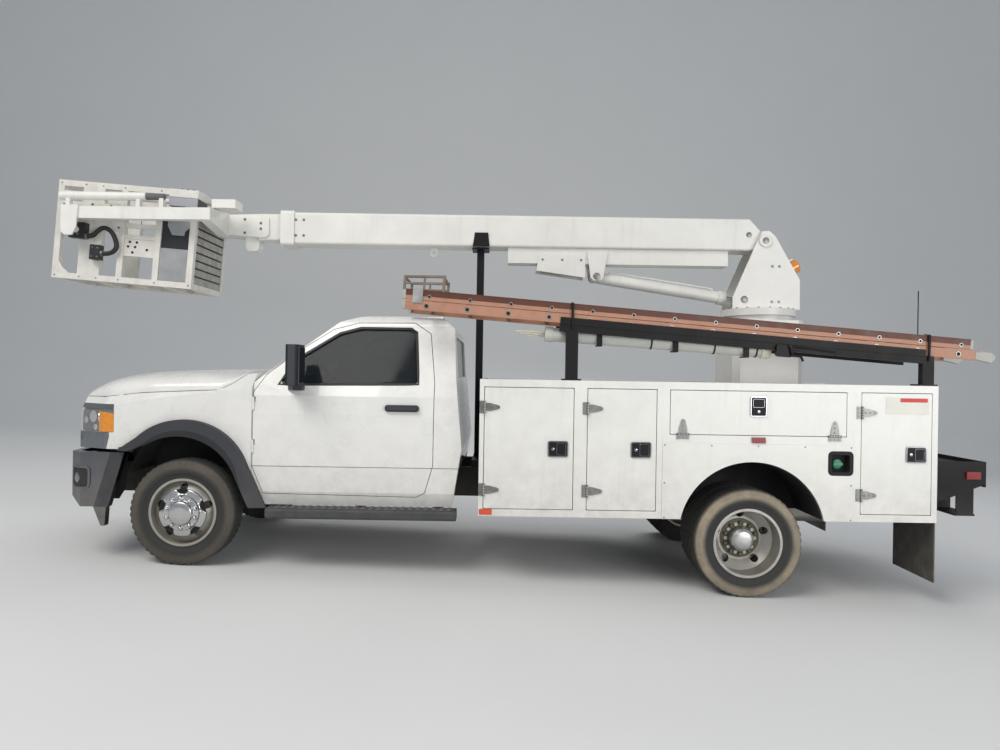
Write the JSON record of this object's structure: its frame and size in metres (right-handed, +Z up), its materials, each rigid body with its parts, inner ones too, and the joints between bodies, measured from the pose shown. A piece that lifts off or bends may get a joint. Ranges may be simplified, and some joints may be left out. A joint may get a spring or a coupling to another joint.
{
  "type": "cherry picker truck",
  "caption": "Cab-and-chassis truck with a service body, a turntable, a telescopic boom and a caged work platform beside its jib beam, parked with the boom stowed over the cab",
  "frame": {"origin": "centre of the footprint's bounding box, on the ground", "axes": "+X to the truck's rear, +Y to its right side, +Z up"},
  "size_m": [7.5744, 2.571, 3.0615],
  "materials": {
    "white_paint": "satin",
    "boom_white": "satin",
    "black_paint": "satin",
    "frame_black": "matt",
    "dark_plastic": "matt",
    "dark_chrome": "polished",
    "silver_paint": "satin",
    "tyre_rubber": "matt",
    "flap_rubber": "matt",
    "hose_rubber": "satin",
    "dark_glass": "polished",
    "clear_lens": "gloss",
    "red_lens": "gloss",
    "amber_lens": "gloss",
    "cast_metal": "rough",
    "bare_steel": "brushed",
    "rod_chrome": "polished",
    "seat_cloth": "woven",
    "ladder_orange": "satin",
    "tube_green": "satin",
    "panel_dark": "satin"
  },
  "bodies": {
    "chassis": {"frame_rails": "frame_black", "front_axle": "frame_black", "rear_axle": "frame_black", "leaf_springs": "frame_black", "engine": "cast_metal", "fuel_tank": "bare_steel", "exhaust": "bare_steel", "cab_shell": "white_paint", "front_fenders": "white_paint", "grille": "dark_plastic", "headlamps": "clear_lens", "front_bumper": "dark_chrome", "fender_flares": "dark_plastic", "running_boards": "dark_plastic", "cab_glass": "dark_glass", "dashboard": "dark_plastic", "seats": "seat_cloth", "side_pack_left": "white_paint", "side_pack_right": "white_paint", "deck": "black_paint", "tail_lamps": "red_lens", "mud_flaps": "flap_rubber", "ladder_rack": "black_paint", "ladder": "ladder_orange", "conduit_tube": "tube_green", "pedestal": "boom_white"},
    "hood": {"hood": "white_paint"},
    "turret": {"turret": "boom_white", "beacon": "amber_lens"},
    "outer_boom": {"outer_boom": "boom_white", "boom_fittings": "boom_white"},
    "inner_boom": {"inner_boom": "boom_white", "platform_arm": "boom_white"},
    "platform": {"platform_frame": "boom_white", "platform_panels": "panel_dark", "platform_hose": "hose_rubber"},
    "cylinder_barrel": {"cylinder_barrel": "boom_white"},
    "cylinder_rod": {"cylinder_rod": "rod_chrome"},
    "door_left": {"door_left": "white_paint", "door_glass_left": "dark_glass"},
    "knuckle_left": {"knuckle_left": "frame_black"},
    "front_wheel_left": {"front_wheel_left": "silver_paint", "front_tyre_left": "tyre_rubber"},
    "rear_wheels_left": {"rear_wheels_left": "silver_paint", "rear_tyres_left": "tyre_rubber"},
    "locker_1_left": {"locker_1_left": "white_paint"},
    "locker_2_left": {"locker_2_left": "white_paint"},
    "locker_3_left": {"locker_3_left": "white_paint"},
    "locker_4_left": {"locker_4_left": "white_paint"},
    "door_right": {"door_right": "white_paint", "door_glass_right": "dark_glass"},
    "knuckle_right": {"knuckle_right": "frame_black"},
    "front_wheel_right": {"front_wheel_right": "silver_paint", "front_tyre_right": "tyre_rubber"},
    "rear_wheels_right": {"rear_wheels_right": "silver_paint", "rear_tyres_right": "tyre_rubber"},
    "locker_1_right": {"locker_1_right": "white_paint"},
    "locker_2_right": {"locker_2_right": "white_paint"},
    "locker_3_right": {"locker_3_right": "white_paint"},
    "locker_4_right": {"locker_4_right": "white_paint"}
  },
  "joints": [
    {"name": "steer_left", "type": "hinge", "parent": "chassis", "child": "knuckle_left", "pos_m": [-2.28212, -0.85, 0.406], "axis": [0, 0, 1], "range_deg": [-38, 38]},
    {"name": "front_spin_left", "type": "hinge", "parent": "knuckle_left", "child": "front_wheel_left", "pos_m": [-2.28212, -0.945, 0.406], "axis": [0, 1, 0], "continuous": true},
    {"name": "rear_spin_left", "type": "hinge", "parent": "chassis", "child": "rear_wheels_left", "pos_m": [2.00024, -0.94, 0.406], "axis": [0, 1, 0], "continuous": true},
    {"name": "door_left_hinge", "type": "hinge", "parent": "chassis", "child": "door_left", "pos_m": [-1.78978, -1.006, 1.09771], "axis": [0.0332, 0, -0.9995], "range_deg": [0, 65]},
    {"name": "locker_1_left_hinge", "type": "hinge", "parent": "chassis", "child": "locker_1_left", "pos_m": [-0.00252, -1.227, 1.02894], "axis": [0.0332, 0, -0.9995], "range_deg": [0, 100]},
    {"name": "locker_2_left_hinge", "type": "hinge", "parent": "chassis", "child": "locker_2_left", "pos_m": [0.76106, -1.227, 1.05427], "axis": [0.0332, 0, -0.9995], "range_deg": [0, 100]},
    {"name": "locker_3_left_hinge", "type": "hinge", "parent": "chassis", "child": "locker_3_left", "pos_m": [2.01925, -1.227, 1.22008], "axis": [0.9995, 0, 0.0332], "range_deg": [0, 90]},
    {"name": "locker_4_left_hinge", "type": "hinge", "parent": "chassis", "child": "locker_4_left", "pos_m": [2.78795, -1.227, 1.12152], "axis": [0.0332, 0, -0.9995], "range_deg": [0, 100]},
    {"name": "steer_right", "type": "hinge", "parent": "chassis", "child": "knuckle_right", "pos_m": [-2.28212, 0.85, 0.406], "axis": [0, 0, 1], "range_deg": [-38, 38]},
    {"name": "front_spin_right", "type": "hinge", "parent": "knuckle_right", "child": "front_wheel_right", "pos_m": [-2.28212, 0.945, 0.406], "axis": [0, 1, 0], "continuous": true},
    {"name": "rear_spin_right", "type": "hinge", "parent": "chassis", "child": "rear_wheels_right", "pos_m": [2.00024, 0.94, 0.406], "axis": [0, 1, 0], "continuous": true},
    {"name": "door_right_hinge", "type": "hinge", "parent": "chassis", "child": "door_right", "pos_m": [-1.78978, 1.006, 1.09771], "axis": [-0.0332, 0, 0.9995], "range_deg": [0, 65]},
    {"name": "locker_1_right_hinge", "type": "hinge", "parent": "chassis", "child": "locker_1_right", "pos_m": [-0.00252, 1.227, 1.02894], "axis": [-0.0332, 0, 0.9995], "range_deg": [0, 100]},
    {"name": "locker_2_right_hinge", "type": "hinge", "parent": "chassis", "child": "locker_2_right", "pos_m": [0.76106, 1.227, 1.05427], "axis": [-0.0332, 0, 0.9995], "range_deg": [0, 100]},
    {"name": "locker_3_right_hinge", "type": "hinge", "parent": "chassis", "child": "locker_3_right", "pos_m": [2.01925, 1.227, 1.22008], "axis": [-0.9995, 0, -0.0332], "range_deg": [0, 90]},
    {"name": "locker_4_right_hinge", "type": "hinge", "parent": "chassis", "child": "locker_4_right", "pos_m": [2.78795, 1.227, 1.12152], "axis": [-0.0332, 0, 0.9995], "range_deg": [0, 100]},
    {"name": "hood_hinge", "type": "hinge", "parent": "chassis", "child": "hood", "pos_m": [-1.88909, 0, 1.52765], "axis": [0, 1, 0], "range_deg": [0, 38]},
    {"name": "turret_slew", "type": "hinge", "parent": "chassis", "child": "turret", "pos_m": [2.3858, 0, 2.20478], "axis": [-0.0332, 0, 0.9995], "continuous": true},
    {"name": "boom_lift", "type": "hinge", "parent": "turret", "child": "outer_boom", "pos_m": [2.36289, 0, 2.86538], "axis": [0, 1, 0], "range_deg": [0, 75]},
    {"name": "boom_extend", "type": "slide", "parent": "outer_boom", "child": "inner_boom", "axis": [-0.9995, 0, -0.0332], "range_m": [0, 3.3]},
    {"name": "platform_level", "type": "hinge", "parent": "inner_boom", "child": "platform", "pos_m": [-3.55853, 0, 2.6289], "axis": [0, -1, 0], "range_deg": [0, 75.5]},
    {"name": "barrel_swing", "type": "hinge", "parent": "outer_boom", "child": "cylinder_barrel", "pos_m": [0.90251, 0, 2.49075], "axis": [0, -1, 0], "range_deg": [0, 9.1]},
    {"name": "rod_slide", "type": "slide", "parent": "cylinder_barrel", "child": "cylinder_rod", "axis": [0.9935, 0, -0.1138], "range_m": [0, 0.62]}
  ],
  "couplings": [
    {"joint": "steer_right", "follows": "steer_left", "ratio": 1},
    {"joint": "platform_level", "follows": "boom_lift", "ratio": 1},
    {"joint": "barrel_swing", "follows": "boom_lift", "ratio": 0.1208},
    {"joint": "rod_slide", "follows": "boom_lift", "m_per_rad": 0.4716}
  ]
}
